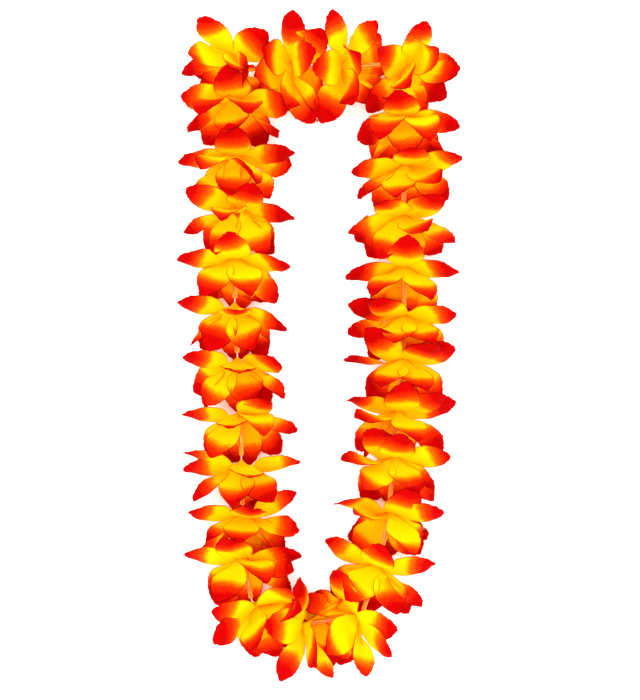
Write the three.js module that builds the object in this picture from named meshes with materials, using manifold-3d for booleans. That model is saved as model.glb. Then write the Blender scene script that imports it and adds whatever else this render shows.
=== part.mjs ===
// A fabric lei, millimetres and degrees, +Z up: a closed thread lies flat as a tall loop and carries
// 27 flowers, with a plastic spacer tube between each flower and the next.
// Each flower is two five-petal cloth blanks, one stacked on the other.
import * as THREE from 'three';
import { mergeVertices } from 'three/addons/utils/BufferGeometryUtils.js';
import Module from 'manifold-3d';

const wasm = await Module();
wasm.setup();

// Driving dimensions.
const PETALS = 5;
const PETAL_REACH = 48; // from the thread to a petal's tip, along the cloth
const PETAL_WIDTH = 28;
const PETAL_WIDEST_AT = 25; // from the thread
const SWELL_EXPONENT = 1.15; // how late a petal widens
const TAPER_EXPONENT = 0.78; // how blunt its end is
const BLANK_RADIUS = 12; // inside this the five petals of a blank are one disc
const PETAL_STATIONS = [BLANK_RADIUS, 24, 37, PETAL_REACH];
const CONE = -65; // how far a blank's middle is pushed back round the thread
const ROOT_SHARE = 0.25; // of its cup and roll, that a petal already has at its root
const DEFAULT_CURL = 12; // how far a petal bends up between its root and its tip
const DEFAULT_CUP = 26; // how far its edges turn up
const CLOTH = 0.9; // the stiffened cloth, at a petal's midrib
const FLAT_BELOW = 15; // a petal turns flat to the table from this height down
const FLAT_AT = 9;
const UPRIGHT = 0.15; // a petal that points further up than this isn't pressed flat
const HUB_HEIGHT = 22; // the flowers prop the thread this far above the table
const MIDDLE_THICKNESS = 2; // of a blank at the thread
const UPPER_SHIFT = 0.5; // the blanks' places along the thread
const LOWER_SHIFT = -0.7;
const THREAD_RADIUS = 0.5;
const TUBE_RADIUS = 1.75;
const TUBE_CLEAR = 3.4; // from the middle of a flower to the end of a tube
const TUBE_BORE = 1;
const GAP = 0.3; // between pieces that touch
const KNOT_RADIUS = 1.5;
const KNOT_LENGTH = 5;
const KNOTTED_SPAN = 24; // counted from 0, the gap between flowers that also holds the knot
const UPPER_RESTS_AT = 1.2; // where an upper blank is pressed down, it lies on the lower one
const ROUND = 6; // sides of the thread and the tubes
const SLIVER = 0.003; // details smaller than this are left out

// How the flowers sit, round the loop from its left top corner. at: the place on the table. heading:
// how far the flower's top is turned from +Y. tilt: how far each blank tips back. A petal is
// [azimuth, lift, curl, cup, roll]. Azimuth goes round the thread from straight up off the table
// towards +X, and lift is out of the blank's plane.
const FLOWERS = [
  {
    at: [-57, 221], heading: -45, tilt: [25, 5],
    upper: [[4, 20, 40, 36], [28, -32, 12, 20, -60], [144, -26], [-150, -22], [-66, -8, 10, 26, 40]],
    lower: [[14, -10, 0, 40, 60], [130, -14, 12, 16], [170, -66], [-118, -58], [-48, -36, 12, 26, -50]],
  },
  {
    at: [-60, 191], heading: 0, tilt: [35, 20],
    upper: [[-10, 2, 70, 30], [72, -20, 10, 26, -40], [150, -27], [-140, -28], [-70, -8, 10, 26, 30]],
    lower: [[14, -30, -70, 26], [80, -48, 12, 26, 40], [-108, -28], [-48, -24, -90, 26, -40],
      [-16, -56, 12, 16]],
  },
  {
    at: [-61, 149], heading: 0, tilt: [30, 10],
    upper: [[-5, 4, 70, 26], [80, -1], [112, 4, 12, 50], [-150, -28], [-80, -12]],
    lower: [[24, -35, 0, 40, -60], [64, -52, 0, 20, 70], [-84, -50, 0, 20, -70],
      [-38, -17, -60, 26, -30], [-6, -54, 12, 16]],
  },
  {
    at: [-60, 110], heading: 0, tilt: [30, 0],
    upper: [[16, -4, 60, 36], [84, -15], [140, -30], [-144, -30], [-58, 6, 12, 26, 15]],
    lower: [[52, -50, 12, 26, 80], [112, -52], [-78, -24, 12, 26, 45], [-36, -54, 12, 20],
      [-14, -9, -45, 50]],
  },
  {
    at: [-61, 72], heading: 0, tilt: [30, 0],
    upper: [[-6, -2, 70, 26], [74, -18], [144, -26], [-140, -22], [-82, -4]],
    lower: [[20, -38, -10, 46, 20], [84, -48, 0, 20, 70], [172, -66], [-115, -52],
      [-46, -36, -10, 26, -50]],
  },
  {
    at: [-62, 35], heading: 0, tilt: [30, 0],
    upper: [[2, -34, 60, 45], [86, -28], [144, -30], [-140, -26], [-72, -2]],
    lower: [[26, -45, 12, 26, 50], [118, -56], [175, -66], [-100, -40], [-41, -45, 12, 20, -60]],
  },
  {
    at: [-60, -6], heading: 0, tilt: [30, 0],
    upper: [[4, -40, 22, 40], [52, -20, 12, 26, -20], [144, -26], [-130, -14], [-64, -5]],
    lower: [[22, -46, 12, 26, 40], [76, -36, 0, 50, 30], [165, -66], [-105, -56],
      [-50, -46, 12, 26, -50]],
  },
  {
    at: [-58, -45], heading: 0, tilt: [30, 0],
    upper: [[-12, -42, 22, 36], [28, -10, 30, 50], [130, -28], [-140, -28], [-76, -6, 12, 26, -12]],
    lower: [[28, -14, -110, 30], [82, -14, 12, 26, 40], [165, -66], [-150, -60],
      [-44, -46, 12, 26, -30]],
  },
  {
    at: [-57, -83], heading: 0, tilt: [30, 0],
    upper: [[12, -40, 22, 36], [81, 1, 12, 26, 10], [144, -28], [-102, 2], [-72, 8, 12, 26, -20]],
    lower: [[42, -36, 12, 26, 50], [115, -54], [175, -66], [-88, -36, 12, 50, -40], [-10, -42, 12, 36]],
  },
  {
    at: [-56, -120], heading: 0, tilt: [30, 0],
    upper: [[12, -21, 40, 50], [67, 17], [131, -26], [-140, -26], [-65, -8]],
    lower: [[76, -14, 12, 26, 60], [95, -54], [175, -66], [-104, -46, 0, 26, -50], [-2, -24]],
  },
  {
    at: [-56, -153], heading: 0, tilt: [30, 0],
    upper: [[-16, -3], [78, 0, 12, 26, -10], [118, -24], [-144, -25], [-75, 0]],
    lower: [[26, -16, -90, 20], [60, -8, 12, 26, 60], [175, -66], [-130, -54], [-34, -44, 12, 26, -30]],
  },
  {
    at: [-49, -190], heading: 40, tilt: [25, 0],
    upper: [[-36, 10, 60, 26], [48, -26, 30, 16, -70], [130, -26], [-140, -26], [-66, -8, 12, 20, 40]],
    lower: [[42, -30, 12, 26, 40], [104, -60], [180, -66], [-140, -66], [-30, -30, 12, 40, -10]],
  },
  {
    at: [-15, -207], heading: 85, tilt: [25, 0],
    upper: [[0, 20, 50], [54, -4, 12, 40, 0], [144, -28], [-138, -20], [-80, 18, 12, 20, 30]],
    lower: [[98, -56], [142, -60], [190, -66], [-88, -34, 12, 20, -50], [-39, -15, 12, 26, -20]],
  },
  {
    at: [33, -199], heading: -60, tilt: [25, 0],
    upper: [[28, 13, 50], [56, 0], [140, -26], [-130, -26], [-62, -4, 12, 26, 30]],
    lower: [[18, -47], [80, -19, 12, 26, 60], [130, -56], [-150, -66], [-85, -44, 0, 26, -60]],
  },
  {
    at: [47, -159], heading: -25, tilt: [25, 0],
    upper: [[-8, 0, 60], [63, 22], [119, -23], [-142, -32], [-81, 0, 25, 26, 20]],
    lower: [[48, -34, 12, 26, 50], [84, -16, 12, 22, 40], [164, -66], [-125, -56],
      [-22, -46, 12, 26, -30]],
  },
  {
    at: [54, -119], heading: 0, tilt: [30, 0],
    upper: [[25, 4, 60], [66, -9, 12, 26, -10], [145, -25], [-140, -26], [-68, 4, -40, 26, -20]],
    lower: [[32, -42, 12, 40], [150, -20, 50], [-178, -30, 30], [-140, -24, 50], [-36, 4, 12, 26, -30]],
  },
  {
    at: [57, -77], heading: 0, tilt: [30, 0],
    upper: [[6, -3, 60], [72, -7, 12, 26, -20], [130, -31], [-144, -28], [-24, 7]],
    lower: [[28, -35], [96, -48, 12, 20, 50], [170, -66], [-62, 2, 12, 26, -40],
      [-36, -30, 12, 26, -50]],
  },
  {
    at: [60, -43], heading: 0, tilt: [30, 0],
    upper: [[8, 5, 60, 30], [52, 2], [76, 6, 12, 26, -20], [-130, -26], [-60, 2, -40, 20, -20]],
    lower: [[22, -26, -10], [76, -40, 0, 20, 60], [175, -66], [-100, -56], [-46, -2, 12, 26, -40]],
  },
  {
    at: [64, -4], heading: 0, tilt: [30, 0],
    upper: [[34, -8], [58, 0, 12, 26, -20], [134, -26], [-140, -28], [-38, 15]],
    lower: [[26, -30], [105, -60], [170, -66], [-81, 3, 12, 26, -25], [-24, -25]],
  },
  {
    at: [65, 29], heading: 0, tilt: [30, 0],
    upper: [[-34, -8, 30, 50], [61, -12, 12, 26, -10], [134, -26], [-140, -28], [-69, 4, 12, 26, 10]],
    lower: [[32, -26, 12, 26, 20], [100, -56], [170, -66], [-81, -16, 12, 26, -50], [-11, -26]],
  },
  {
    at: [64, 66], heading: 0, tilt: [30, 0],
    upper: [[4, 4, 60], [74, -14], [150, -32], [-150, -28], [-86, -14]],
    lower: [[33, -33, -10], [122, -54], [180, -66], [-114, -54], [-36, -27, -10]],
  },
  {
    at: [64, 104], heading: 0, tilt: [30, 0],
    upper: [[-20, -13, 20], [40, -2], [135, -20], [-140, -24], [-86, -22]],
    lower: [[24, -14, 12, 26, 40], [75, -26, 12, 26, 40], [160, -66], [-122, -20, 12, 20, -30],
      [-36, -48, 12, 26, -30]],
  },
  {
    at: [67, 142], heading: 0, tilt: [30, 0],
    upper: [[8, -14, 30, 40], [66, -3], [140, -30], [-144, -30], [-75, -15, 12, 26, 10]],
    lower: [[34, -16, 12, 30, 40], [56, -36, 12, 26, 60], [170, -66], [-85, -34, 12, 50, -30],
      [-16, -34]],
  },
  {
    at: [65, 179], heading: 0, tilt: [30, 0],
    upper: [[-6, -6, 60, 36], [78, -19, 12, 26, -15], [144, -30], [-144, -30], [-77, -36, 12, 26, 50]],
    lower: [[30, -22, -100, 40, 30], [104, -44], [-70, -58], [-30, -20, -110, 26, -20],
      [2, -44, -20, 16]],
  },
  {
    at: [63, 214], heading: 45, tilt: [25, 0],
    upper: [[-10, 10, 60, 30, 60], [47, 4, 12, 26, -20], [130, -30], [-144, -30],
      [-84, -6, 12, 20, 30]],
    lower: [[34, -8, 12, 40, 100], [58, -46, 60, 26, 50], [168, -50], [-125, -54], [-14, -14, -30, 40]],
  },
  {
    at: [14, 211], heading: 90, tilt: [25, 0],
    upper: [[-4, 8, 80, 26], [70, 4, 12, 20, -25], [140, -25], [-144, -28], [-75, 20, 12, 14, 70]],
    lower: [[10, -15, 0, 40, 50], [69, -36, 12, 26, 60], [150, -66], [-100, -60],
      [-42, -8, 12, 26, -60]],
  },
  {
    at: [-14, 211], heading: -90, tilt: [25, 0],
    upper: [[-14, 0, 80, 30], [76, 18, 12, 14, -70], [146, -24], [-70, -7, 12, 22, 40],
      [-38, 14, -30, 14, 90]],
    lower: [[14, -40, 12, 26, 20], [46, -1, 12, 26, 60], [96, 30, 12, 16], [140, 36, 12, 14],
      [-18, -30, 12, 26, -20]],
  },
];

const rad = THREE.MathUtils.degToRad;
const mix = THREE.MathUtils.lerp;

/** A closed three.js geometry as a solid that can be joined and cut. */
function solid(geometry) {
  const bare = geometry.clone();
  bare.deleteAttribute('normal');
  bare.deleteAttribute('uv');
  const merged = mergeVertices(bare, 1e-4);
  return new wasm.Manifold(new wasm.Mesh({
    numProp: 3,
    vertProperties: new Float32Array(merged.attributes.position.array),
    triVerts: new Uint32Array(merged.index.array),
  }));
}

/** Two solids as one, joined before anything else is. */
function joined(a, b) {
  return a.add(b).simplify(SLIVER);
}

/** A solid's surface as a three.js geometry, without the slivers that cuts leave. */
function geometryOf(body) {
  const mesh = body.simplify(SLIVER).getMesh();
  const geometry = new THREE.BufferGeometry();
  geometry.setAttribute('position', new THREE.BufferAttribute(mesh.vertProperties, 3));
  geometry.setIndex(new THREE.BufferAttribute(mesh.triVerts, 1));
  geometry.computeVertexNormals();
  return geometry;
}

/** A round bar from one point to another. */
function rod(from, to, radius) {
  const along = to.clone().sub(from);
  const up = new THREE.Vector3(0, 1, 0);
  const turn = new THREE.Quaternion().setFromUnitVectors(up, along.clone().normalize());
  const middle = from.clone().addScaledVector(along, 0.5);
  return new THREE.CylinderGeometry(radius, radius, along.length(), ROUND)
    .applyQuaternion(turn).translate(middle.x, middle.y, middle.z);
}

/** Half the width of a petal, at a distance from the thread along the cloth. */
function halfWidth(x) {
  const widest = PETAL_WIDTH / 2;
  const neck = BLANK_RADIUS * Math.tan(Math.PI / PETALS);
  if (x < PETAL_WIDEST_AT) {
    const swell = (x - BLANK_RADIUS) / (PETAL_WIDEST_AT - BLANK_RADIUS);
    return mix(neck, widest, Math.sin(swell * Math.PI / 2) ** SWELL_EXPONENT);
  }
  const taper = (x - PETAL_WIDEST_AT) / (PETAL_REACH - PETAL_WIDEST_AT);
  return widest * (1 - taper ** 2) ** TAPER_EXPONENT;
}

/** The axes of a blank: to its right, out of its face, and off the table as far as tilt lets it. */
function blankAxes(heading, tilt) {
  const right = new THREE.Vector3(Math.cos(rad(heading)), Math.sin(rad(heading)), 0);
  const top = new THREE.Vector3(-right.y, right.x, 0);
  const off = new THREE.Vector3(0, 0, 1);
  const [c, s] = [Math.cos(rad(tilt)), Math.sin(rad(tilt))];
  return {
    right,
    face: top.clone().multiplyScalar(c).addScaledVector(off, -s),
    off: off.clone().multiplyScalar(c).addScaledVector(top, s),
  };
}

/** A step along a petal: where it would sink into what it lies on, it runs along it. */
function pressed(step, height, length) {
  const lowest = -height / length;
  if (step.z >= lowest) return step;
  const level = Math.sqrt(1 - lowest ** 2) / Math.hypot(step.x, step.y);
  return new THREE.Vector3(step.x * level, step.y * level, lowest);
}

/** The way out from the thread at an azimuth, in the plane of the blank. */
function outward(blank, azimuth) {
  return blank.off.clone().multiplyScalar(Math.cos(rad(azimuth)))
    .addScaledVector(blank.right, Math.sin(rad(azimuth)));
}

/** A unit step that leaves the plane of the blank by so many degrees. */
function lifted(blank, out, degrees) {
  return out.clone().multiplyScalar(Math.cos(rad(degrees)))
    .addScaledVector(blank.face, Math.sin(rad(degrees)));
}

/** How far out of the plane of its blank a petal runs, at a distance from the thread. */
function rise([, lift, curl = DEFAULT_CURL], x) {
  const bent = lift + curl * (x / PETAL_REACH - 0.5);
  return mix(CONE, bent, Math.min(1, x / BLANK_RADIUS));
}

/** The points down the middle of a petal, and the step that leads to each. */
function midrib(blank, pose) {
  const points = [blank.centre];
  const steps = [];
  PETAL_STATIONS.forEach((station, i) => {
    const before = i ? PETAL_STATIONS[i - 1] : 0;
    const axes = i ? blank.petals : blank.disc;
    const way = lifted(axes, outward(axes, pose[0]), rise(pose, (before + station) / 2));
    const step = pressed(way, points[i].z - blank.restsAt, station - before);
    steps.push(step);
    points.push(points[i].clone().addScaledVector(step, station - before));
  });
  return { points: points.slice(1), steps };
}

/** The corners of a cupped petal, four at each station and one at its tip: an edge, the middle
    of its face, the other edge and the middle of its back. grow makes it that much fatter. */
function petalCorners(blank, pose, grow) {
  const [azimuth, , , cup = DEFAULT_CUP, roll = 0] = pose;
  const out = outward(blank.petals, azimuth);
  const across = outward(blank.petals, azimuth + 90);
  const { points, steps } = midrib(blank, pose);
  const tip = points.length - 1;
  const corners = points.slice(0, tip).flatMap((point, i) => {
    const along = steps[i].clone().add(steps[i + 1]).normalize();
    const level = new THREE.Vector3(-along.y, along.x, 0).normalize();
    if (level.dot(across) < 0) level.negate();
    const low = THREE.MathUtils.clamp((FLAT_BELOW - point.z) / (FLAT_BELOW - FLAT_AT), 0, 1);
    const flat = out.z < UPRIGHT ? low : 0;
    const spread = Math.max(0, PETAL_STATIONS[i] - BLANK_RADIUS) / (PETAL_REACH - BLANK_RADIUS);
    const side = across.clone().lerp(level, flat);
    side.addScaledVector(along, -side.dot(along)).normalize().applyAxisAngle(along, rad(roll * spread));
    const normal = along.clone().cross(side);
    const turn = Math.max(1e-3, rad(cup) * mix(ROOT_SHARE, 1, spread) * (1 - flat));
    const half = halfWidth(PETAL_STATIONS[i]) + grow;
    const edge = (way) => point.clone().addScaledVector(side, way * half * Math.sin(turn) / turn)
      .addScaledVector(normal, half * (1 - Math.cos(turn)) / turn);
    const middle = (way) => point.clone().addScaledVector(normal, way * (CLOTH / 2 + grow));
    return [edge(1), middle(1), edge(-1), middle(-1)];
  });
  return [...corners, points[tip].clone().addScaledVector(steps[tip], grow)];
}

/** The bottom of the notch between a petal and the one after it. */
function notchPoint(blank, pose, after, grow) {
  const gap = THREE.MathUtils.euclideanModulo(after[0] - pose[0], 360);
  const between = (rise(pose, BLANK_RADIUS / 2) + rise(after, BLANK_RADIUS / 2)) / 2;
  const way = lifted(blank.disc, outward(blank.disc, pose[0] + gap / 2), between);
  return blank.centre.clone().addScaledVector(way, BLANK_RADIUS + grow);
}

/** A petal with its share of the blank's middle, from the thread to its tip. */
function petalSolid(blank, poses, k, grow) {
  const before = poses[(k + PETALS - 1) % PETALS];
  const after = poses[(k + 1) % PETALS];
  const corners = petalCorners(blank, poses[k], grow);
  corners[0] = notchPoint(blank, poses[k], after, grow);
  corners[2] = notchPoint(blank, before, poses[k], grow);
  const front = corners.length;
  const back = front + 1;
  const ends = [1, -1].map((way) => blank.centre.clone()
    .addScaledVector(blank.face, way * (MIDDLE_THICKNESS / 2 + grow)));
  const rings = PETAL_STATIONS.length - 1;
  const corner = (ring, j) => (ring === rings ? rings * 4 : ring * 4 + (j % 4));
  const index = [0, back, front, 2, front, back];
  for (let j = 0; j < 4; j += 1) {
    // Every facet is split from its edge corner nearer the thread, on the face and the back alike.
    const [edge, mid] = j % 2 ? [j + 1, j] : [j, j + 1];
    index.push(corner(0, j + 1), corner(0, j), j < 2 ? front : back);
    for (let ring = 0; ring < rings; ring += 1) {
      const far = corner(ring + 1, mid);
      index.push(corner(ring, j), corner(ring, j + 1), far);
      if (ring + 1 < rings) {
        const end = corner(ring + 1, edge);
        index.push(...(j % 2 ? [corner(ring, edge), end, far] : [corner(ring, edge), far, end]));
      }
    }
  }
  return skin([...corners, ...ends], index);
}

/** One five-petal blank: its petals meet round the thread and are parted at notches. */
function blankSolid(hub, heading, tilt, shift, restsAt, poses, grow) {
  const { face } = blankAxes(heading, 0);
  const centre = hub.clone().addScaledVector(face, shift);
  const [disc, petals] = [tilt / 2, tilt].map((share) => blankAxes(heading, share));
  const blank = { centre, face, disc, petals, restsAt: restsAt + CLOTH / 2 };
  return poses.map((pose, k) => petalSolid(blank, poses, k, grow)).reduce(joined);
}

/** A closed skin over the points, kept off the table. */
function skin(points, index) {
  const geometry = new THREE.BufferGeometry();
  geometry.setAttribute('position', new THREE.Float32BufferAttribute(
    points.flatMap(({ x, y, z }) => [x, y, Math.max(z, 0)]), 3));
  geometry.setIndex(index);
  return solid(geometry);
}

const hubs = FLOWERS.map(({ at }) => new THREE.Vector3(at[0], at[1], HUB_HEIGHT));
const next = (k) => (k + 1) % FLOWERS.length;

/** A flower: two blanks gathered on the thread. */
function flowerSolid(k, grow = 0) {
  const { heading, tilt, upper, lower } = FLOWERS[k];
  return joined(
    blankSolid(hubs[k], heading, tilt[0], UPPER_SHIFT, UPPER_RESTS_AT, upper, grow),
    blankSolid(hubs[k], heading, tilt[1], LOWER_SHIFT, 0, lower, grow),
  );
}

/** The middle line of the tube between a flower and the next, and of the room for a knot after it. */
function spanParts(k) {
  const along = hubs[next(k)].clone().sub(hubs[k]).normalize();
  const back = (distance) => hubs[next(k)].clone().addScaledVector(along, -distance);
  const room = k === KNOTTED_SPAN ? KNOT_LENGTH : 0;
  return {
    tube: [hubs[k].clone().addScaledVector(along, TUBE_CLEAR), back(TUBE_CLEAR + room)],
    knot: [back(TUBE_CLEAR + room - GAP), back(TUBE_CLEAR + GAP)],
  };
}

/** A bar along a line, with both ends run on by a distance. */
function bar([from, to], radius, past = 0) {
  const more = to.clone().sub(from).setLength(past);
  return solid(rod(from.clone().sub(more), to.clone().add(more), radius));
}

/** The loop of thread, straight from flower to flower: even steps of the curve land on them. */
function threadSolid(radius) {
  const route = new THREE.CatmullRomCurve3(hubs, true);
  route.getPointAt = route.getPoint;
  route.getTangentAt = route.getTangent;
  return solid(new THREE.TubeGeometry(route, hubs.length, radius, ROUND, true));
}

/** The knot that closes the loop, drawn out along the thread. */
function knotSolid(grow = 0) {
  const [from, to] = spanParts(KNOTTED_SPAN).knot;
  const along = to.clone().sub(from);
  const turn = new THREE.Quaternion()
    .setFromUnitVectors(new THREE.Vector3(0, 1, 0), along.clone().normalize());
  return solid(new THREE.SphereGeometry(1, ROUND, ROUND / 2)
    .scale(KNOT_RADIUS + grow, along.length() / 2 + grow, KNOT_RADIUS + grow)
    .applyQuaternion(turn).translate(...from.clone().lerp(to, 0.5)));
}

function material(color, roughness) {
  return new THREE.MeshStandardMaterial({ color, roughness, metalness: 0 });
}

const finishes = {
  cloth: material(0xff8a00, 0.8),
  straw: material(0xf0a040, 0.35),
  thread: material(0xf4efe6, 0.7),
};
const group = new THREE.Group();
function place(name, body, finish) {
  const mesh = new THREE.Mesh(geometryOf(body), finish);
  mesh.name = name;
  group.add(mesh);
}

const number = (k) => String(k + 1).padStart(2, '0');
const earlier = (k, count) => (k + FLOWERS.length - count) % FLOWERS.length;

/** The largest piece of a body that cuts may have left in several. */
function largest(body) {
  return body.decompose().reduce((a, b) => (a.volume() > b.volume() ? a : b));
}

const rooms = wasm.Manifold.union([threadSolid(THREAD_RADIUS + GAP), knotSolid(GAP),
  ...hubs.map((hub, k) => bar(spanParts(k).tube, TUBE_RADIUS + GAP, GAP))]);
hubs.forEach((hub, k) => {
  // A petal that touches one of the two flowers before it gives way.
  const taken = [1, 2].flatMap((count) => [flowerSolid(earlier(k, count), GAP),
    flowerSolid(earlier(k, count))]);
  const flower = flowerSolid(k).subtract(wasm.Manifold.union([...taken, rooms]));
  place(`flower_${number(k)}`, largest(flower), finishes.cloth);
});
hubs.forEach((hub, k) => {
  const { tube } = spanParts(k);
  const straw = bar(tube, TUBE_RADIUS).subtract(bar(tube, TUBE_BORE, GAP));
  place(`spacer_tube_${number(k)}`, straw, finishes.straw);
});
place('thread', threadSolid(THREAD_RADIUS).add(knotSolid()), finishes.thread);

// The origin is on the table, under the middle of the lei.
const box = new THREE.Box3().setFromObject(group);
const middle = box.getCenter(new THREE.Vector3());
group.position.set(-middle.x, -middle.y, -box.min.z);
export default group;
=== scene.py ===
import math

import bmesh
import bpy
import numpy as np
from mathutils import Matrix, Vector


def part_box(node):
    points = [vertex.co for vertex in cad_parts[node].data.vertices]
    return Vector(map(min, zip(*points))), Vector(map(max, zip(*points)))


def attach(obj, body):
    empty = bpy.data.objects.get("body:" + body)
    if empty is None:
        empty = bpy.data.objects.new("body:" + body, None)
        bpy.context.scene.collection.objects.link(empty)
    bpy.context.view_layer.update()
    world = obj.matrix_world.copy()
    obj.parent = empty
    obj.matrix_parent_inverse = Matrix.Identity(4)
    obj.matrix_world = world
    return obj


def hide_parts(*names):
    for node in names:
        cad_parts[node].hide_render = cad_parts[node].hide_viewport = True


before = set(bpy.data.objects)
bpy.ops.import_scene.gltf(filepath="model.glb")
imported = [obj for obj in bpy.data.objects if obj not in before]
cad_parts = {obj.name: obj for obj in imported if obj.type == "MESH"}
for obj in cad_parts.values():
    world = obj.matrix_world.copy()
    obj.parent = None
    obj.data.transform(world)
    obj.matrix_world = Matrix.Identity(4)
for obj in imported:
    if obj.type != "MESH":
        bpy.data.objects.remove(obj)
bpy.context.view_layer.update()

MM = 0.001

# Driving dimensions of the lei, in millimetres and degrees, as its solids have them.
PETALS = 5
PETAL_REACH = 48  # from the thread to a petal's tip, along the cloth
PETAL_WIDTH = 28
PETAL_WIDEST_AT = 25  # from the thread
SWELL_EXPONENT = 1.15  # how late a petal widens
TAPER_EXPONENT = 0.78  # how blunt its end is
BLANK_RADIUS = 12  # inside this the five petals of a blank are one disc
CONE = -65  # how far a blank's middle is pushed back round the thread
ROOT_SHARE = 0.25  # of its cup, that a petal already has at its root
DEFAULT_CURL = 12  # how far a petal bends up between its root and its tip
DEFAULT_CUP = 26  # how far its edges turn up
FLAT_BELOW = 15  # a petal turns flat to the table from this height down
FLAT_AT = 9
UPRIGHT = 0.15  # a petal that points further up than this isn't pressed flat
HUB_HEIGHT = 22
UPPER_SHIFT = 0.5  # the blanks' places along the thread
LOWER_SHIFT = -0.7
THREAD_RADIUS = 0.5
TUBE_RADIUS = 1.75
TUBE_CLEAR = 3.4  # from the middle of a flower to the end of a tube
KNOT_RADIUS = 1.5
KNOT_LENGTH = 5
KNOTTED_SPAN = 24  # counted from 0, the gap between flowers that also holds the knot

# What only the dressed model has.
CLOTH = 0.32  # the real thickness of the dyed cloth
UPPER_RESTS_AT = 1.1
LOWER_RESTS_AT = 0.2
SETTLE = 8  # a petal comes down on the table over about this length
TUBE_WALL = 0.22
ROWS = 36  # of the mesh down a petal, outside the disc
ROW_CROWDING = 0.92  # below 1, these rows lie a little closer together towards the tip
DISC_ROWS = [0.7, 2.5, 4.5, 6.8, 9.4]
COLUMNS = 12
JOIN_FADE = 4  # the length over which two petals' pull on each other dies away past the disc
JOIN_POWER = 1.5  # how late across a petal that pull sets in
TIP_CUT = 0.35  # the blunt end of a petal
RAGGED = 0.45  # how far the cut edge wanders, growing from nothing at the disc
FRAYED = 1.9  # how much more it wanders at the tip, as a share
FRAY_POWER = 3  # how late down a petal it starts to fray
SIDE_WAVES = (2.4, 3.9, 7.0)  # the lengths of the waves down a petal's cut sides
END_WAVES = (1.9, 3.3, 5.1)  # and across its end
END_POWER = 6  # how late down a petal its end's waves start
FLUTTER = 1.1  # how far the edges of a petal wave in and out
LEFT_FLUTTER = (17, 29)  # the lengths of these waves
RIGHT_FLUTTER = (15, 26)
NARROWEST_CUP = 6  # a petal is cupped as if half its width were never less
NARROWEST_EDGE = 3  # and it flutters as if it were never less than this
PRESSED = 0.7  # the share of flutter and crease that a petal loses flat on the table
CREASE = 0.5  # the pressed line down the middle of a petal
CREASE_WIDTH = 1.1
TABLE_GAP = 0.02  # between the lowest cloth and the table
SEEDS_APART = 100  # between one flower's random seeds and the next one's
UV_SPAN = 100  # the square of cloth that the UV map covers
STRAW_SIDES = 20
THREAD_STEP = 0.5
THREAD_SIDES = 8
PLY_LAY = 4  # one turn of the thread's two plies
PLY_GROOVE = 0.16  # half the depth of the groove between them, as a share of the radius
EASE = 5  # steps over which the thread turns its corners
KNOT_STEPS = 60
KNOT_TURNS = 3.5
KNOT_PLY = 0.4
KNOT_TAPER = 0.3
KNOT_SIDES = 8
KNOT_SKEW = 0.3  # leans the way that its sides are laid out from, off the way the ply runs
KNOT_TAIL = 6
TAIL_POINTS = 9
TAIL_ASIDE = 0.4  # how far a tail leads aside and along, as shares of its length
TAIL_ALONG = 0.7
TAIL_BEND = 1.5
DYE_SHIFT = 0.06  # how much further out the dye starts on one petal than on another
WEAVE_SCALE = 80  # of a wave texture on the UV map: threads 0.4 mm apart
SEEP_SCALE = 70  # of the noise that carries the dye's edge in and out
GRAIN_SCALE = 900  # of the noise that makes it grainy
MOTTLE_SCALE = 520  # of the noise that clouds the red
DYE_BOW = 0.07  # how much further in the dye runs down a petal's middle than at its edges
BOW_RANGE = (-0.6, 1)  # from the least to the most of that bow, as shares of it
DYE_LEAN = 0.1  # how much further in it runs down one side than down the other
CLOTH_GLOW = 0.42  # the share of light that passes through the cloth
CLOTH_ROUGHNESS = 0.8
CLOTH_SHINE = 0.03
WEAVE_WANDER = 0.6  # how unevenly the weave's threads run
BUMP_HEIGHT = 0.0001  # of the weave and of the thread's fibres, in metres
STRAW_PAINTED_STREAKS = 2.6  # the scale of the noise round a straw that paints its light and dark streaks: painted highlights and painted shade
STRAW_ROUGHNESS = 0.3
STRAW_CLARITY = 0.12
STRAW_IOR = 1.35
COTTON_SCALE = 900  # of the noise that clouds the thread
FIBRE_SCALE = 2600  # of the noise that raises its fibres
COTTON_ROUGHNESS = 0.9
COTTON_SHEEN = 0.2
FIBRE_DEPTH = 0.5
FLOOR_HALF = 4.0  # metres
FLOOR_WHITE = 0.96
FLOOR_ROUGHNESS = 0.9
BOUNCES = 8  # of light between petals
SKY = 3.0
LAMP = 0.6
LAMP_SPREAD = 45
LAMP_TURN = (-12, -10, 0)
CAMERA_AWAY = 3.0  # metres, as the next two are
VIEW_LENGTH = 0.525  # from the top of the view to its bottom
VIEW_MIDDLE = (0.0019, -0.0008)  # where on the table it looks, counted from FLOWERS' own zero
SENSOR = 36  # millimetres wide
NEAREST = 0.1  # the camera sees nothing closer than this, in metres, or past the next
FURTHEST = 20

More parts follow.
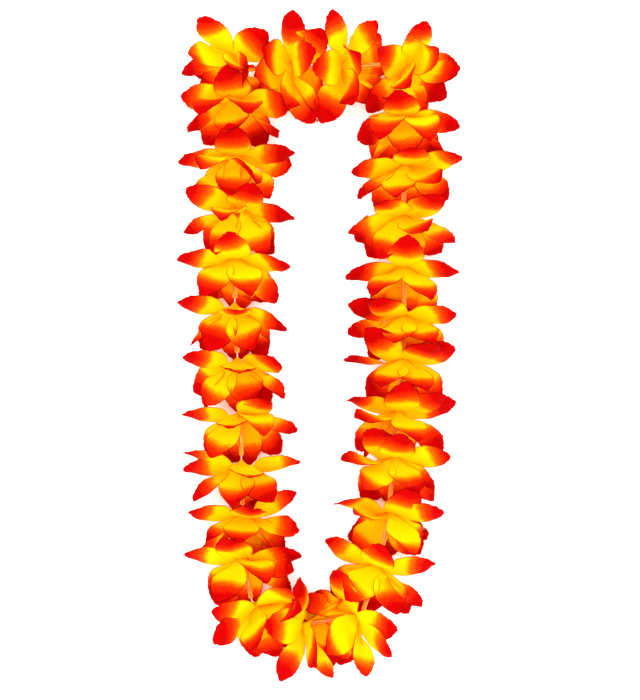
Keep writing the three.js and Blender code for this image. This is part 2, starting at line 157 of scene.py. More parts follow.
# How the flowers sit, round the loop from its left top corner: place on the table, how far the
# flower's top is turned from +Y, then for the upper and the lower blank how far it tips back and
# its petals. A petal is (azimuth, lift, curl, cup, roll). Azimuth goes round the thread from
# straight up off the table towards +X, and lift is out of the blank's plane.
FLOWERS = [
    (-57, 221, -45,
     25, [(4, 20, 40, 36), (28, -32, 12, 20, -60), (144, -26), (-150, -22), (-66, -8, 10, 26, 40)],
     5, [(14, -10, 0, 40, 60), (130, -14, 12, 16), (170, -66), (-118, -58),
         (-48, -36, 12, 26, -50)]),
    (-60, 191, 0,
     35, [(-10, 2, 70, 30), (72, -20, 10, 26, -40), (150, -27), (-140, -28),
          (-70, -8, 10, 26, 30)],
     20, [(14, -30, -70, 26), (80, -48, 12, 26, 40), (-108, -28), (-48, -24, -90, 26, -40),
          (-16, -56, 12, 16)]),
    (-61, 149, 0,
     30, [(-5, 4, 70, 26), (80, -1), (112, 4, 12, 50), (-150, -28), (-80, -12)],
     10, [(24, -35, 0, 40, -60), (64, -52, 0, 20, 70), (-84, -50, 0, 20, -70),
          (-38, -17, -60, 26, -30), (-6, -54, 12, 16)]),
    (-60, 110, 0,
     30, [(16, -4, 60, 36), (84, -15), (140, -30), (-144, -30), (-58, 6, 12, 26, 15)],
     0, [(52, -50, 12, 26, 80), (112, -52), (-78, -24, 12, 26, 45), (-36, -54, 12, 20),
         (-14, -9, -45, 50)]),
    (-61, 72, 0,
     30, [(-6, -2, 70, 26), (74, -18), (144, -26), (-140, -22), (-82, -4)],
     0, [(20, -38, -10, 46, 20), (84, -48, 0, 20, 70), (172, -66), (-115, -52),
         (-46, -36, -10, 26, -50)]),
    (-62, 35, 0,
     30, [(2, -34, 60, 45), (86, -28), (144, -30), (-140, -26), (-72, -2)],
     0, [(26, -45, 12, 26, 50), (118, -56), (175, -66), (-100, -40), (-41, -45, 12, 20, -60)]),
    (-60, -6, 0,
     30, [(4, -40, 22, 40), (52, -20, 12, 26, -20), (144, -26), (-130, -14), (-64, -5)],
     0, [(22, -46, 12, 26, 40), (76, -36, 0, 50, 30), (165, -66), (-105, -56),
         (-50, -46, 12, 26, -50)]),
    (-58, -45, 0,
     30, [(-12, -42, 22, 36), (28, -10, 30, 50), (130, -28), (-140, -28), (-76, -6, 12, 26, -12)],
     0, [(28, -14, -110, 30), (82, -14, 12, 26, 40), (165, -66), (-150, -60),
         (-44, -46, 12, 26, -30)]),
    (-57, -83, 0,
     30, [(12, -40, 22, 36), (81, 1, 12, 26, 10), (144, -28), (-102, 2), (-72, 8, 12, 26, -20)],
     0, [(42, -36, 12, 26, 50), (115, -54), (175, -66), (-88, -36, 12, 50, -40),
         (-10, -42, 12, 36)]),
    (-56, -120, 0,
     30, [(12, -21, 40, 50), (67, 17), (131, -26), (-140, -26), (-65, -8)],
     0, [(76, -14, 12, 26, 60), (95, -54), (175, -66), (-104, -46, 0, 26, -50), (-2, -24)]),
    (-56, -153, 0,
     30, [(-16, -3), (78, 0, 12, 26, -10), (118, -24), (-144, -25), (-75, 0)],
     0, [(26, -16, -90, 20), (60, -8, 12, 26, 60), (175, -66), (-130, -54),
         (-34, -44, 12, 26, -30)]),
    (-49, -190, 40,
     25, [(-36, 10, 60, 26), (48, -26, 30, 16, -70), (130, -26), (-140, -26),
          (-66, -8, 12, 20, 40)],
     0, [(42, -30, 12, 26, 40), (104, -60), (180, -66), (-140, -66), (-30, -30, 12, 40, -10)]),
    (-15, -207, 85,
     25, [(0, 20, 50), (54, -4, 12, 40, 0), (144, -28), (-138, -20), (-80, 18, 12, 20, 30)],
     0, [(98, -56), (142, -60), (190, -66), (-88, -34, 12, 20, -50), (-39, -15, 12, 26, -20)]),
    (33, -199, -60,
     25, [(28, 13, 50), (56, 0), (140, -26), (-130, -26), (-62, -4, 12, 26, 30)],
     0, [(18, -47), (80, -19, 12, 26, 60), (130, -56), (-150, -66), (-85, -44, 0, 26, -60)]),
    (47, -159, -25,
     25, [(-8, 0, 60), (63, 22), (119, -23), (-142, -32), (-81, 0, 25, 26, 20)],
     0, [(48, -34, 12, 26, 50), (84, -16, 12, 22, 40), (164, -66), (-125, -56),
         (-22, -46, 12, 26, -30)]),
    (54, -119, 0,
     30, [(25, 4, 60), (66, -9, 12, 26, -10), (145, -25), (-140, -26), (-68, 4, -40, 26, -20)],
     0, [(32, -42, 12, 40), (150, -20, 50), (-178, -30, 30), (-140, -24, 50),
         (-36, 4, 12, 26, -30)]),
    (57, -77, 0,
     30, [(6, -3, 60), (72, -7, 12, 26, -20), (130, -31), (-144, -28), (-24, 7)],
     0, [(28, -35), (96, -48, 12, 20, 50), (170, -66), (-62, 2, 12, 26, -40),
         (-36, -30, 12, 26, -50)]),
    (60, -43, 0,
     30, [(8, 5, 60, 30), (52, 2), (76, 6, 12, 26, -20), (-130, -26), (-60, 2, -40, 20, -20)],
     0, [(22, -26, -10), (76, -40, 0, 20, 60), (175, -66), (-100, -56), (-46, -2, 12, 26, -40)]),
    (64, -4, 0,
     30, [(34, -8), (58, 0, 12, 26, -20), (134, -26), (-140, -28), (-38, 15)],
     0, [(26, -30), (105, -60), (170, -66), (-81, 3, 12, 26, -25), (-24, -25)]),
    (65, 29, 0,
     30, [(-34, -8, 30, 50), (61, -12, 12, 26, -10), (134, -26), (-140, -28),
          (-69, 4, 12, 26, 10)],
     0, [(32, -26, 12, 26, 20), (100, -56), (170, -66), (-81, -16, 12, 26, -50), (-11, -26)]),
    (64, 66, 0,
     30, [(4, 4, 60), (74, -14), (150, -32), (-150, -28), (-86, -14)],
     0, [(33, -33, -10), (122, -54), (180, -66), (-114, -54), (-36, -27, -10)]),
    (64, 104, 0,
     30, [(-20, -13, 20), (40, -2), (135, -20), (-140, -24), (-86, -22)],
     0, [(24, -14, 12, 26, 40), (75, -26, 12, 26, 40), (160, -66), (-122, -20, 12, 20, -30),
         (-36, -48, 12, 26, -30)]),
    (67, 142, 0,
     30, [(8, -14, 30, 40), (66, -3), (140, -30), (-144, -30), (-75, -15, 12, 26, 10)],
     0, [(34, -16, 12, 30, 40), (56, -36, 12, 26, 60), (170, -66), (-85, -34, 12, 50, -30),
         (-16, -34)]),
    (65, 179, 0,
     30, [(-6, -6, 60, 36), (78, -19, 12, 26, -15), (144, -30), (-144, -30),
          (-77, -36, 12, 26, 50)],
     0, [(30, -22, -100, 40, 30), (104, -44), (-70, -58), (-30, -20, -110, 26, -20),
         (2, -44, -20, 16)]),
    (63, 214, 45,
     25, [(-10, 10, 60, 30, 60), (47, 4, 12, 26, -20), (130, -30), (-144, -30),
          (-84, -6, 12, 20, 30)],
     0, [(34, -8, 12, 40, 100), (58, -46, 60, 26, 50), (168, -50), (-125, -54),
         (-14, -14, -30, 40)]),
    (14, 211, 90,
     25, [(-4, 8, 80, 26), (70, 4, 12, 20, -25), (140, -25), (-144, -28), (-75, 20, 12, 14, 70)],
     0, [(10, -15, 0, 40, 50), (69, -36, 12, 26, 60), (150, -66), (-100, -60),
         (-42, -8, 12, 26, -60)]),
    (-14, 211, -90,
     25, [(-14, 0, 80, 30), (76, 18, 12, 14, -70), (146, -24), (-70, -7, 12, 22, 40),
          (-38, 14, -30, 14, 90)],
     0, [(14, -40, 12, 26, 20), (46, -1, 12, 26, 60), (96, 30, 12, 16), (140, 36, 12, 14),
         (-18, -30, 12, 26, -20)]),
]


def half_width(x):
    """Half the width of a petal at distances x from the thread, along the cloth."""
    widest = PETAL_WIDTH / 2
    neck = BLANK_RADIUS * math.tan(math.pi / PETALS)
    swell = np.clip((x - BLANK_RADIUS) / (PETAL_WIDEST_AT - BLANK_RADIUS), 0, 1)
    taper = np.clip((x - PETAL_WIDEST_AT) / (PETAL_REACH - PETAL_WIDEST_AT), 0, 1)
    outside = neck + (widest - neck) * np.sin(swell * math.pi / 2) ** SWELL_EXPONENT
    outside = np.where(taper > 0, widest * (1 - taper ** 2) ** TAPER_EXPONENT, outside)
    return np.where(x < BLANK_RADIUS, x * math.tan(math.pi / PETALS), outside)


def unit(v):
    return v / np.maximum(np.linalg.norm(v, axis=-1, keepdims=True), 1e-9)


def turned(v, axis, angle):
    """Vectors turned about unit axes at right angles to them."""
    return v * np.cos(angle)[:, None] + np.cross(axis, v) * np.sin(angle)[:, None]


def blank_axes(heading, tilt):
    """A blank's own axes: to its right, out of its face, and off the table."""
    h, t = math.radians(heading), math.radians(tilt)
    right = np.array([math.cos(h), math.sin(h), 0])
    top = np.array([-math.sin(h), math.cos(h), 0])
    off = np.array([0, 0, 1.0])
    return right, math.cos(t) * top - math.sin(t) * off, math.cos(t) * off + math.sin(t) * top


def outward(axes, azimuth):
    """The way out from the thread at an azimuth, in the plane of the blank."""
    a = math.radians(azimuth)
    return math.cos(a) * axes[2] + math.sin(a) * axes[0]


def midrib(centre, heading, tilt, rests_at, azimuth, lift, curl, cup, roll):
    """Follows the middle of a petal in 1 mm steps. Gives for each its place, the ways across it
    and out of its face, how sharply it is cupped and how flat it is pressed."""
    places, steps, sideways = [centre], [], []
    for x in np.arange(PETAL_REACH + 2) + 0.5:
        # The middle of the blank stands square to the thread, and its petals tip back.
        own = min(1, x / BLANK_RADIUS)
        axes = blank_axes(heading, tilt * own)
        bent = lift + curl * (x / PETAL_REACH - 0.5)
        rise = math.radians(CONE + (bent - CONE) * own)
        step = math.cos(rise) * outward(axes, azimuth) + math.sin(rise) * axes[1]
        lowest = -(places[-1][2] - rests_at) / SETTLE
        if step[2] < lowest:
            level = math.sqrt(1 - min(1, lowest ** 2)) / max(math.hypot(*step[:2]), 1e-6)
            step = np.array([step[0] * level, step[1] * level, lowest])
        steps.append(step)
        sideways.append(outward(axes, azimuth + 90))
        places.append(places[-1] + step)
    out = outward(axes, azimuth)
    across = np.array([sideways[0], *sideways])
    places = np.array(places)
    steps = np.array([steps[0], *steps])
    along = unit(steps + np.roll(steps, -1, axis=0))
    along[-1] = along[-2]
    level = unit(np.stack([-along[:, 1], along[:, 0], 0 * along[:, 0]], axis=1))
    level *= np.where((level * across).sum(1) < 0, -1, 1)[:, None]
    low = np.clip((FLAT_BELOW - places[:, 2]) / (FLAT_BELOW - FLAT_AT), 0, 1)
    flat = low if out[2] < UPRIGHT else 0 * low
    x = np.arange(len(places))
    spread = np.clip((x - BLANK_RADIUS) / (PETAL_REACH - BLANK_RADIUS), 0, 1)
    side = across + (level - across) * flat[:, None]
    side = unit(side - along * (side * along).sum(1, keepdims=True))
    side = turned(side, along, np.radians(roll) * spread)
    turn = np.maximum(1e-3, math.radians(cup) * (ROOT_SHARE + (1 - ROOT_SHARE) * spread) * (1 - flat))
    return places, side, np.cross(along, side), turn, flat


def waves(rng, places, lengths, height):
    """A smooth random line through the places, made of waves of these lengths."""
    made = np.zeros(np.shape(places))
    for length in lengths:
        made = made + np.sin(2 * math.pi * (places / length + rng.random()))
    return made * height / len(lengths)


def petal_grid(rng, centre, heading, tilt, rests_at, azimuth, lift, curl=DEFAULT_CURL,
               cup=DEFAULT_CUP, roll=0):
    """The middle surface of a petal as a grid of points, with the same points on the flat cut."""
    rows = np.linspace(0, 1, ROWS + 1) ** ROW_CROWDING
    x = np.append(DISC_ROWS, BLANK_RADIUS + (PETAL_REACH - TIP_CUT - BLANK_RADIUS) * rows)
    g = np.linspace(-1, 1, COLUMNS + 1)
    far = np.clip((x - BLANK_RADIUS) / (PETAL_REACH - BLANK_RADIUS), 0, 1)
    half = half_width(x)
    wander = np.minimum(RAGGED * far * (1 + FRAYED * far ** FRAY_POWER), half / 2)
    left, right = (waves(rng, x, SIDE_WAVES, 1) * wander for _ in "lr")
    flat_y = g[None] * (half[:, None] + np.where(g[None] < 0, left[:, None], right[:, None]))
    flat_x = x[:, None] + waves(rng, flat_y, END_WAVES, RAGGED) * (far ** END_POWER)[:, None]

    places, side, normal, turn, flat = midrib(centre, heading, tilt, rests_at, azimuth, lift,
                                              curl, cup, roll)
    stations = np.arange(len(places))

    def at(values):
        if values.ndim == 1:
            return np.interp(flat_x, stations, values)
        return np.stack([np.interp(flat_x, stations, v) for v in values.T], axis=-1)

    bend = np.maximum(half_width(flat_x), NARROWEST_CUP) / at(turn)
    angle = flat_y / bend
    edge = (flat_y / np.maximum(half_width(flat_x), NARROWEST_EDGE)) ** 2
    loose = (1 - PRESSED * at(flat)) * far[:, None]
    flutter = np.where(flat_y < 0, waves(rng, flat_x, LEFT_FLUTTER, FLUTTER),
                       waves(rng, flat_x, RIGHT_FLUTTER, FLUTTER)) * edge
    crease = -CREASE * np.exp(-(flat_y / CREASE_WIDTH) ** 2)
    out_by = bend * (1 - np.cos(angle)) + (flutter + crease) * loose
    points = at(places) + at(side) * (bend * np.sin(angle))[..., None]
    points = points + at(normal) * out_by[..., None]
    return points, flat_x, flat_y


def join_disc(grids):
    """Draws neighbouring petals together along the radii where the blank isn't cut."""
    disc = len(DISC_ROWS) + 1
    x = grids[0][1][:, 0]
    fade = np.where(np.arange(len(x)) < disc, 1, np.exp(-(x - BLANK_RADIUS) / JOIN_FADE))
    g = np.linspace(0, 1, COLUMNS + 1)[None, :, None]
    pulls = []
    for k in range(PETALS):
        mine, other = grids[k][0][:, -1], grids[(k + 1) % PETALS][0][:, 0]
        pull = (other - mine) / 2
        pull[disc:] = pull[disc - 1]
        pulls.append(pull * fade[:, None])
    for k in range(PETALS):
        points = grids[k][0]
        points += pulls[k][:, None] * g ** JOIN_POWER
        points -= pulls[k - 1][:, None] * (1 - g) ** JOIN_POWER


def blank_mesh(name, rng, hub, heading, tilt, shift, rests_at, petals):
    """One blank as a closed thin piece of cloth: its face, its back and its cut edge."""
    centre = hub + blank_axes(heading, 0)[1] * shift
    grids = [petal_grid(rng, centre, heading, tilt, rests_at, *p) for p in petals]
    join_disc(grids)
    disc = len(DISC_ROWS) + 1
    rows = disc + ROWS
    g = np.linspace(-1, 1, COLUMNS + 1)
    numbers = np.zeros((PETALS, rows, COLUMNS + 1), int)
    points, cut, dye = [], [], []
    for k, (grid, flat_x, flat_y) in enumerate(grids):
        a = math.radians(360 / PETALS * k)
        shade = rng.normal(0, 1)
        bow = DYE_BOW * rng.uniform(*BOW_RANGE)
        lean = DYE_LEAN * rng.uniform(-1, 1)
        for i in range(rows):
            for j in range(COLUMNS + 1):
                if i < disc and j == COLUMNS:
                    continue
                numbers[k, i, j] = len(points)
                points.append(grid[i, j])
                u, v = flat_x[i, j], flat_y[i, j]
                cut.append((u * math.sin(a) + v * math.cos(a), u * math.cos(a) - v * math.sin(a)))
                # The cut outline, where a painted shade darkens the cloth's edge.
                rim = j in (0, COLUMNS) and i >= disc or i == rows - 1
                far = u / PETAL_REACH
                dye.append((far + bow * (1 - g[j] ** 2) + lean * g[j] * far, shade, float(rim)))
    for k in range(PETALS):
        numbers[k, :disc, COLUMNS] = numbers[(k + 1) % PETALS, :disc, 0]
    points = np.array(points)
    points[:, 2] = np.maximum(points[:, 2], CLOTH / 2 + TABLE_GAP)
    quads = np.stack([numbers[:, :-1, :-1], numbers[:, :-1, 1:], numbers[:, 1:, 1:],
                      numbers[:, 1:, :-1]], axis=-1).reshape(-1, 4)
    across = np.cross(points[quads[:, 3]] - points[quads[:, 1]],
                      points[quads[:, 2]] - points[quads[:, 0]])
    normal = np.zeros_like(points)
    for corner in range(4):
        np.add.at(normal, quads[:, corner], across)
    normal = unit(normal)
    outline = []
    for k in range(PETALS):
        outline += [numbers[k, disc - 1:, COLUMNS], numbers[k, -1], numbers[k, disc - 1:, 0]]
    hole = np.append(numbers[:, 0, :-1].reshape(-1), numbers[0, 0, 0])
    count = len(points)
    edges = [(line[i], line[i + 1]) for line in [*outline, hole] for i in range(len(line) - 1)]
    edges = np.array(edges)
    sides = np.stack([edges[:, 0], edges[:, 1], edges[:, 1] + count, edges[:, 0] + count], axis=-1)
    faces = np.concatenate([quads[:, ::-1], quads + count, sides])
    both = np.concatenate([points + normal * CLOTH / 2, points - normal * CLOTH / 2])
    both[:, 2] = np.maximum(both[:, 2], TABLE_GAP)
    kinds = np.repeat([0, 1, 2], [len(quads), len(quads), len(sides)])
    return make_mesh(name, both, faces, kinds, np.array(cut * 2), np.array(dye * 2), edges, count)


def make_mesh(name, points, faces, kinds, cut, dye, edges, count):
    """A Blender object with a smooth face and back, a sharp rim, the flat cut as its UV map, and what
    the colour goes by: the reach along a petal and the petal's own tone for the dye, and its rim for a
    painted shade along the cut edge."""
    mesh = bpy.data.meshes.new(name)
    mesh.from_pydata((points * MM).tolist(), [], faces.tolist())
    mesh.polygons.foreach_set("material_index", kinds)
    mesh.polygons.foreach_set("use_smooth", np.ones(len(faces), bool))
    corners = np.zeros(len(mesh.loops), int)
    mesh.loops.foreach_get("vertex_index", corners)
    layer = mesh.uv_layers.new(name="cut")
    layer.data.foreach_set("uv", (cut[corners] / UV_SPAN + 0.5).ravel())
    for key, values in zip(("reach", "tone", "rim"), dye.T.copy()):
        mesh.attributes.new(key, "FLOAT", "POINT").data.foreach_set("value", values)
    ends = np.zeros(len(mesh.edges) * 2, int)
    mesh.edges.foreach_get("vertices", ends)
    ends = np.sort(ends.reshape(-1, 2), axis=1)
    rim = np.sort(np.concatenate([edges, edges + count]), axis=1)
    size = len(points)
    sharp = np.isin(ends[:, 0] * size + ends[:, 1], rim[:, 0] * size + rim[:, 1])
    mesh.attributes.new("sharp_edge", "BOOLEAN", "EDGE").data.foreach_set("value", sharp)
    turn_faces_out(mesh)
    return place(name, mesh)


def turn_faces_out(mesh):
    work = bmesh.new()
    work.from_mesh(mesh)
    bmesh.ops.recalc_face_normals(work, faces=work.faces)
    work.to_mesh(mesh)
    work.free()


def place(name, mesh):
    piece = bpy.data.objects.new(name, mesh)
    bpy.context.scene.collection.objects.link(piece)
    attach(piece, "root")
    return piece


def sweep(path, rings):
    """A closed tube of rings, one round each point of a closed path. A ring is a list of
    (distance, angle) round the path."""
    along = unit(np.roll(path, -1, axis=0) - np.roll(path, 1, axis=0))
    up = np.array([0, 0, 1.0])
    side = unit(np.cross(along, up))
    over = np.cross(side, along)
    r, a = rings[..., 0:1], rings[..., 1:2]
    return path[:, None] + r * (np.cos(a) * side[:, None] + np.sin(a) * over[:, None])


def ring_faces(rows, columns, closed):
    """Quads over a grid that closes on itself round its columns, and along its rows if closed."""
    i = np.arange(rows if closed else rows - 1)[:, None]
    j = np.arange(columns)[None]
    n, m = (i + 1) % rows, (j + 1) % columns
    return np.stack([i * columns + j, n * columns + j, n * columns + m, i * columns + m],
                    axis=-1).reshape(-1, 4)


def smooth_mesh(name, points, faces):
    mesh = bpy.data.meshes.new(name)
    mesh.from_pydata((points * MM).tolist(), [], faces.tolist())
    mesh.polygons.foreach_set("use_smooth", np.ones(len(faces), bool))
    turn_faces_out(mesh)
    return place(name, mesh)


def straw(name, start, end):
    """A drinking straw cut to length: a thin wall, with its cut ends very slightly rounded."""
    along = unit(end - start)
    side = unit(np.cross(along, [0, 0, 1.0]))
    over = np.cross(side, along)
    length = np.linalg.norm(end - start)
    inner = TUBE_RADIUS - TUBE_WALL
    soft = TUBE_WALL / 4
    profile = [(0, inner + soft), (0, TUBE_RADIUS - soft), (soft, TUBE_RADIUS)]
    profile += [(length - soft, TUBE_RADIUS), (length, TUBE_RADIUS - soft), (length, inner + soft)]
    profile += [(length - soft, inner), (soft, inner)]
    a = np.arange(STRAW_SIDES) * 2 * math.pi / STRAW_SIDES
    rings = [start + along * x + r * (np.cos(a)[:, None] * side + np.sin(a)[:, None] * over)
             for x, r in profile]
    faces = ring_faces(len(profile), STRAW_SIDES, True)
    piece = smooth_mesh(name, np.concatenate(rings), faces)
    # Where each point lies round the straw and along it, for the painted light and dark streaks.
    round_and_along = [(math.cos(turn), math.sin(turn), x / length) for x, _ in profile for turn in a]
    layer = piece.data.attributes.new("round_and_along", "FLOAT_VECTOR", "POINT")
    layer.data.foreach_set("vector", np.array(round_and_along).ravel())
    return piece


def thread_route(hubs):
    """Places every half millimetre round the loop, with the corner at each flower eased."""
    route = []
    for k, hub in enumerate(hubs):
        to = hubs[(k + 1) % len(hubs)]
        steps = int(np.linalg.norm(to - hub) / THREAD_STEP)
        route += [hub + (to - hub) * i / steps for i in range(steps)]
    route = np.array(route)
    return sum(np.roll(route, k, axis=0) for k in range(-EASE, EASE + 1)) / (2 * EASE + 1)


def ply_rings(count, radius, pitch):
    """The section of two plies laid round each other, turning along the way."""
    a = np.arange(THREAD_SIDES) * 2 * math.pi / THREAD_SIDES
    turn = np.arange(count)[:, None] * 2 * math.pi / pitch
    distance = radius * (1 - PLY_GROOVE + PLY_GROOVE * np.cos(2 * (a[None] - turn)))
    return np.stack([distance, np.broadcast_to(a, distance.shape)], axis=-1)


def knot_line(start, end, along, side, over):
    """The middle of the ply that is wound into the knot, with a cut tail at both its ends."""
    s = np.linspace(0, 1, KNOT_STEPS)
    a = s * KNOT_TURNS * 2 * math.pi
    swell = KNOT_RADIUS - KNOT_PLY - KNOT_TAPER * (2 * s - 1) ** 2
    coil = start + along * (KNOT_PLY + (np.linalg.norm(end - start) - 2 * KNOT_PLY) * s)[:, None]
    coil = coil + swell[:, None] * (np.cos(a)[:, None] * side + np.sin(a)[:, None] * over)
    t = np.linspace(0, 1, TAIL_POINTS)[:, None]
    tails = []
    for way, root in ((-1, coil[0]), (1, coil[-1])):
        lead = side * TAIL_ASIDE * way + along * way * TAIL_ALONG
        tails.append(root + t * KNOT_TAIL * lead - t * t * over * TAIL_BEND)
    return np.concatenate([tails[0][:0:-1], coil, tails[1][1:]])


def thread(name, hubs, knot_from, knot_to):
    """The closed thread, with the wound knot that ends it and the knot's two cut tails."""
    route = thread_route(hubs)
    turns = max(1, round(len(route) * THREAD_STEP / PLY_LAY))
    loop = sweep(route, ply_rings(len(route), THREAD_RADIUS, len(route) / turns))
    along = unit(knot_to - knot_from)
    side = unit(np.cross(along, [0, 0, 1.0]))
    over = np.cross(side, along)
    line = knot_line(knot_from, knot_to, along, side, over)
    direction = unit(np.gradient(line, axis=0))
    across = unit(np.cross(direction, over + KNOT_SKEW * side))
    top = np.cross(across, direction)
    b = np.arange(KNOT_SIDES) * 2 * math.pi / KNOT_SIDES
    knot = line[:, None] + KNOT_PLY * (np.cos(b)[None, :, None] * across[:, None]
                                       + np.sin(b)[None, :, None] * top[:, None])
    points = np.concatenate([loop.reshape(-1, 3), knot.reshape(-1, 3)])
    first, count = loop.shape[0] * loop.shape[1], len(points)
    faces = ring_faces(*loop.shape[:2], True).tolist()
    faces += (ring_faces(len(line), KNOT_SIDES, False) + first).tolist()
    faces.append([first + j for j in range(KNOT_SIDES)])
    faces.append([count - 1 - j for j in range(KNOT_SIDES)])
    mesh = bpy.data.meshes.new(name)
    mesh.from_pydata((points * MM).tolist(), [], faces)
    mesh.polygons.foreach_set("use_smooth", np.ones(len(faces), bool))
    return place(name, mesh)


def colour(red, green, blue):
    """A colour given as a screen shows it, 0 to 255, in the linear values that a shader takes."""
    def linear(v):
        v = v / 255
        return v / 12.92 if v <= 0.04045 else ((v + 0.055) / 1.055) ** 2.4
    return (linear(red), linear(green), linear(blue), 1)


class Nodes:
    """A material's node tree, with short ways to add to it."""

    def __init__(self, name):
        self.material = bpy.data.materials.new(name)
        self.material.use_nodes = True
        self.tree = self.material.node_tree
        self.shader = self.tree.nodes["Principled BSDF"]
        self.output = self.tree.nodes["Material Output"]

    def add(self, kind, inputs=None, **settings):
        node = self.tree.nodes.new("ShaderNode" + kind)
        for key, value in settings.items():
            setattr(node, key, value)
        for key, value in (inputs or {}).items():
            self.feed(node.inputs[key], value)
        return node

    def feed(self, socket, value):
        if isinstance(value, bpy.types.NodeSocket):
            self.tree.links.new(value, socket)
        else:
            socket.default_value = value

    def math(self, operation, *values):
        node = self.add("Math", operation=operation)
        for socket, value in zip(node.inputs, values):
            self.feed(socket, value)
        return node.outputs[0]

    def ramp(self, factor, stops, interpolation="LINEAR"):
        node = self.add("ValToRGB", {"Fac": factor})
        ramp = node.color_ramp
        ramp.interpolation = interpolation
        while len(ramp.elements) < len(stops):
            ramp.elements.new(1)
        for element, (position, shade) in zip(ramp.elements, stops):
            element.position = position
            element.color = shade
        return node.outputs["Color"]

    def tint(self, first, second, share=1):
        node = self.add("MixRGB", {"Fac": share, "Color1": first, "Color2": second},
                        blend_type="MULTIPLY")
        return node.outputs["Color"]

    def attribute(self, name):
        return self.add("Attribute", attribute_name=name).outputs["Fac"]

    def noise(self, scale, detail=2, stretch=None):
        place = self.add("TexCoord").outputs["Object"]
        if stretch:
            place = self.add("Mapping", {"Vector": place, "Scale": stretch}).outputs["Vector"]
        made = self.add("TexNoise", {"Vector": place, "Scale": scale, "Detail": detail})
        return made.outputs["Fac"]


def cloth(name, stops, seep, depth):
    """Dyed cloth: the dye's colours run into each other down the petal, over a fine weave, with a painted
    shade along the cut edge.
    """
    n = Nodes(name)
    broad = n.math("MULTIPLY", n.math("SUBTRACT", n.noise(SEEP_SCALE, 1), 0.5), seep)
    fine = n.math("MULTIPLY", n.math("SUBTRACT", n.noise(GRAIN_SCALE, 2), 0.5), seep)
    blotch = n.math("ADD", broad, fine)
    own = n.math("MULTIPLY", n.attribute("tone"), DYE_SHIFT)
    far = n.math("ADD", n.math("ADD", n.attribute("reach"), blotch), own)
    mottle = n.ramp(n.noise(MOTTLE_SCALE, 3), [(0.3, MOTTLE), (0.62, (1, 1, 1, 1))])
    dyed = n.tint(n.ramp(far, stops), mottle, n.ramp(far, [(0.5, BLACK), (0.8, WHITE)]))
    # Painted shade: a darker line along the cut edge, on the face and the back alike.
    painted_edge_shade = n.ramp(far, [(0.35, EDGE_SHADE_ON_YELLOW), (0.65, EDGE_SHADE_ON_RED)])
    shade = n.tint(dyed, painted_edge_shade, n.ramp(n.attribute("rim"), [(0.5, BLACK), (0.9, WHITE)]))
    flat = n.add("UVMap", uv_map="cut").outputs["UV"]
    threads = {"Vector": flat, "Scale": WEAVE_SCALE, "Distortion": WEAVE_WANDER}
    warp, weft = (n.add("TexWave", threads, bands_direction=way).outputs["Fac"]
                  for way in ("X", "Y"))
    weave = n.math("ADD", warp, weft)
    bump = n.add("Bump", {"Height": weave, "Strength": depth, "Distance": BUMP_HEIGHT})
    s = n.shader.inputs
    n.feed(s["Base Color"], shade)
    n.feed(s["Normal"], bump.outputs["Normal"])
    s["Roughness"].default_value = CLOTH_ROUGHNESS
    s["Specular IOR Level"].default_value = CLOTH_SHINE
    through = n.add("BsdfTranslucent", {"Color": shade})
    both = n.add("MixShader", {0: CLOTH_GLOW, 1: n.shader.outputs[0], 2: through.outputs[0]})
    n.feed(n.output.inputs["Surface"], both.outputs[0])
    return n.material


def straw_plastic():
    """Thin plastic with lengthwise light and dark streaks painted on it: painted highlights and painted
    shade.
    """
    n = Nodes("straw_plastic")
    round_and_along = n.add("Attribute", attribute_name="round_and_along").outputs["Vector"]
    painted_streaks = n.add("TexNoise", {"Vector": round_and_along, "Scale": STRAW_PAINTED_STREAKS, "Detail": 2}).outputs["Fac"]
    # Dark streaks are painted shade and light ones are painted highlights, round the plastic's own amber.
    shade = n.ramp(painted_streaks, [(0.38, colour(186, 76, 6)), (0.5, colour(230, 146, 24)),
                            (0.62, colour(252, 204, 84))])
    s = n.shader.inputs
    n.feed(s["Base Color"], shade)
    s["Roughness"].default_value = STRAW_ROUGHNESS
    s["Transmission Weight"].default_value = STRAW_CLARITY
    s["IOR"].default_value = STRAW_IOR
    return n.material


def thread_cotton():
    n = Nodes("thread_cotton")
    shade = n.ramp(n.noise(COTTON_SCALE, 2), [(0.3, colour(226, 220, 208)), (0.7, colour(250, 247, 240))])
    s = n.shader.inputs
    n.feed(s["Base Color"], shade)
    s["Roughness"].default_value = COTTON_ROUGHNESS
    s["Sheen Weight"].default_value = COTTON_SHEEN
    fibres = {"Height": n.noise(FIBRE_SCALE, 2), "Strength": FIBRE_DEPTH, "Distance": BUMP_HEIGHT}
    bump = n.add("Bump", fibres)
    n.feed(s["Normal"], bump.outputs["Normal"])
    return n.material


YELLOW = colour(252, 209, 0)
# Painted shade: the yellow is a little darker at the root of each petal, where the petals gather round
# the thread.
ROOT_SHADE_YELLOW = colour(252, 202, 0)
ORANGE = colour(250, 110, 0)
FLAME = colour(234, 50, 0)
RED = colour(188, 0, 0)
# Painted shade for the cut edge: a darker red than the dye's own.
EDGE_SHADE_RED = colour(150, 0, 0)
BLACK = (0, 0, 0, 1)
WHITE = (1, 1, 1, 1)
MOTTLE = (0.78, 0.6, 0.6, 1)
# Painted shade along a petal's cut edge, multiplied into the dye: light on the yellow, deep on the red.
EDGE_SHADE_ON_YELLOW = (0.8, 0.5, 0.3, 1)
EDGE_SHADE_ON_RED = (0.42, 0.2, 0.2, 1)

face = cloth("petal_face", [(0.0, ROOT_SHADE_YELLOW), (0.16, YELLOW), (0.57, YELLOW), (0.665, ORANGE),
                            (0.75, FLAME), (0.9, RED)], seep=0.12, depth=0.25)
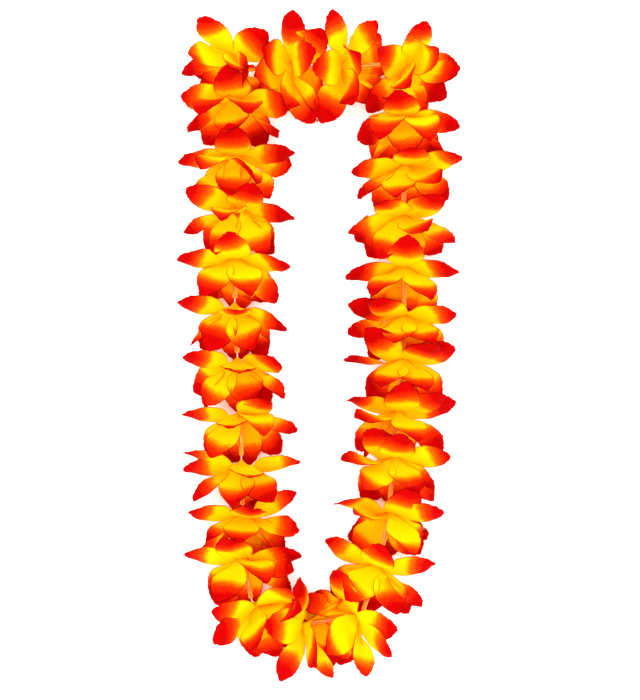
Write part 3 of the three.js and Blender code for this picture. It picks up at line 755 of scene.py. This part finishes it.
# The back's orange and red start further in than the face's: painted shade for the underside, which is
# turned from the light. The cloth is dyed the same through.
back = cloth("petal_back_with_painted_shade", [(0.0, ROOT_SHADE_YELLOW), (0.16, YELLOW), (0.55, YELLOW), (0.63, ORANGE),
                            (0.73, FLAME), (0.84, RED)], seep=0.12, depth=0.25)
# The cut edge goes dark orange and dark red sooner than the face: painted shade over the same dye.
rim = cloth("petal_cut_edge_with_painted_shade", [(0.0, ROOT_SHADE_YELLOW), (0.45, colour(220, 130, 0)), (0.6, EDGE_SHADE_RED),
                               (1.0, EDGE_SHADE_RED)], seep=0.04, depth=0.0)
straws = straw_plastic()
cotton = thread_cotton()

# The solids' own frame has its origin under the middle of the lei.
thread_low, thread_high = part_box("thread")
where = np.array([row[:2] for row in FLOWERS], float)
middle = (where.min(0) + where.max(0)) / 2
shift = np.array((thread_low + thread_high) / 2)[:2] / MM - middle
hubs = np.column_stack([where + shift, np.full(len(where), HUB_HEIGHT)])

for k, (_, _, heading, *blanks) in enumerate(FLOWERS):
    node = f"flower_{k + 1:02d}"
    layers = (("upper", UPPER_SHIFT, UPPER_RESTS_AT), ("lower", LOWER_SHIFT, LOWER_RESTS_AT))
    for which, (layer, along, rests_at) in enumerate(layers):
        rng = np.random.default_rng(SEEDS_APART * (k + 1) + which)
        tilt, petals = blanks[2 * which:2 * which + 2]
        piece = blank_mesh(f"{node}_{layer}_blank", rng, hubs[k], heading, tilt, along, rests_at,
                           petals)
        for finish in (face, back, rim):
            piece.data.materials.append(finish)
        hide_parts(node)

for k, hub in enumerate(hubs):
    node = f"spacer_tube_{k + 1:02d}"
    to = hubs[(k + 1) % len(hubs)]
    along = unit(to - hub)
    room = KNOT_LENGTH if k == KNOTTED_SPAN else 0
    piece = straw(f"{node}_straw", hub + along * TUBE_CLEAR, to - along * (TUBE_CLEAR + room))
    piece.data.materials.append(straws)
    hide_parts(node)

before, after = hubs[KNOTTED_SPAN], hubs[KNOTTED_SPAN + 1]
along = unit(after - before)
knot_end = after - along * TUBE_CLEAR
piece = thread("thread_and_knot", hubs, knot_end - along * KNOT_LENGTH, knot_end)
piece.data.materials.append(cotton)
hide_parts("thread")


def studio():
    """A pale floor, an even pale sky and one large soft lamp."""
    scene = bpy.context.scene
    ways = ((-1, -1), (1, -1), (1, 1), (-1, 1))
    mesh = bpy.data.meshes.new("floor")
    mesh.from_pydata([(x * FLOOR_HALF, y * FLOOR_HALF, 0) for x, y in ways], [], [(0, 1, 2, 3)])
    floor = bpy.data.objects.new("floor", mesh)
    scene.collection.objects.link(floor)
    n = Nodes("floor_white")
    n.shader.inputs["Base Color"].default_value = (FLOOR_WHITE, FLOOR_WHITE, FLOOR_WHITE, 1)
    n.shader.inputs["Roughness"].default_value = FLOOR_ROUGHNESS
    mesh.materials.append(n.material)

    world = bpy.data.worlds.new("sky")
    world.use_nodes = True
    world.node_tree.nodes["Background"].inputs["Color"].default_value = (1, 1, 1, 1)
    world.node_tree.nodes["Background"].inputs["Strength"].default_value = SKY
    scene.world = world

    lamp = bpy.data.lights.new("soft_lamp", "SUN")
    lamp.energy = LAMP
    lamp.angle = math.radians(LAMP_SPREAD)
    holder = bpy.data.objects.new("soft_lamp", lamp)
    holder.rotation_euler = [math.radians(a) for a in LAMP_TURN]
    scene.collection.objects.link(holder)
    scene.cycles.diffuse_bounces = BOUNCES
    scene.view_settings.view_transform = "Standard"


def camera():
    """Looks straight down from far off, on a view this long from top to bottom."""
    data = bpy.data.cameras.new("camera")
    data.sensor_width = SENSOR
    data.lens = data.sensor_width * CAMERA_AWAY / VIEW_LENGTH
    data.clip_start = NEAREST
    data.clip_end = FURTHEST
    eye = bpy.data.objects.new("camera", data)
    aim = np.array(VIEW_MIDDLE) + shift * MM
    eye.location = (aim[0], aim[1], CAMERA_AWAY + HUB_HEIGHT * MM)
    bpy.context.scene.collection.objects.link(eye)
    bpy.context.scene.camera = eye


camera()
studio()
